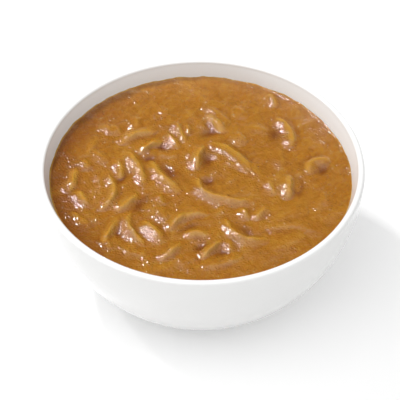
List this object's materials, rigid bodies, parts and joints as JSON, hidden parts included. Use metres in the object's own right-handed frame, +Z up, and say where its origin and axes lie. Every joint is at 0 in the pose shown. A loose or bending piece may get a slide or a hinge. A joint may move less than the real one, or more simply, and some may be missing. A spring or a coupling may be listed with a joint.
{
  "type": "french onion soup",
  "caption": "Thick brown onion soup with soft onion strips standing out of its surface, served in a plain round white porcelain bowl on a low foot ring.",
  "frame": {"origin": "on the bowl's axis, at the plane of its foot ring", "axes": "+Z up along the bowl's axis, +X to the right and +Y away from whoever faces the bowl as it is served"},
  "size_m": [0.156, 0.156, 0.0686],
  "materials": {
    "porcelain": "gloss white glaze",
    "soup": "wet, slightly grainy",
    "onion": "wet and soft"
  },
  "bodies": {
    "root": {"bowl": "porcelain", "soup": "soup", "onion_strip_01": "onion", "onion_strip_02": "onion", "onion_strip_03": "onion", "onion_strip_04": "onion", "onion_strip_05": "onion", "onion_strip_06": "onion", "onion_strip_07": "onion", "onion_strip_08": "onion", "onion_strip_09": "onion", "onion_strip_10": "onion", "onion_strip_11": "onion", "onion_strip_12": "onion", "onion_strip_13": "onion", "onion_strip_14": "onion", "onion_strip_15": "onion", "onion_strip_16": "onion", "onion_strip_17": "onion", "onion_strip_18": "onion", "onion_strip_19": "onion", "onion_strip_20": "onion", "onion_strip_21": "onion", "onion_strip_22": "onion", "onion_strip_23": "onion", "onion_strip_24": "onion", "onion_strip_25": "onion", "onion_strip_26": "onion", "onion_strip_27": "onion", "onion_strip_28": "onion", "onion_strip_29": "onion", "onion_strip_30": "onion"}
  },
  "joints": []
}
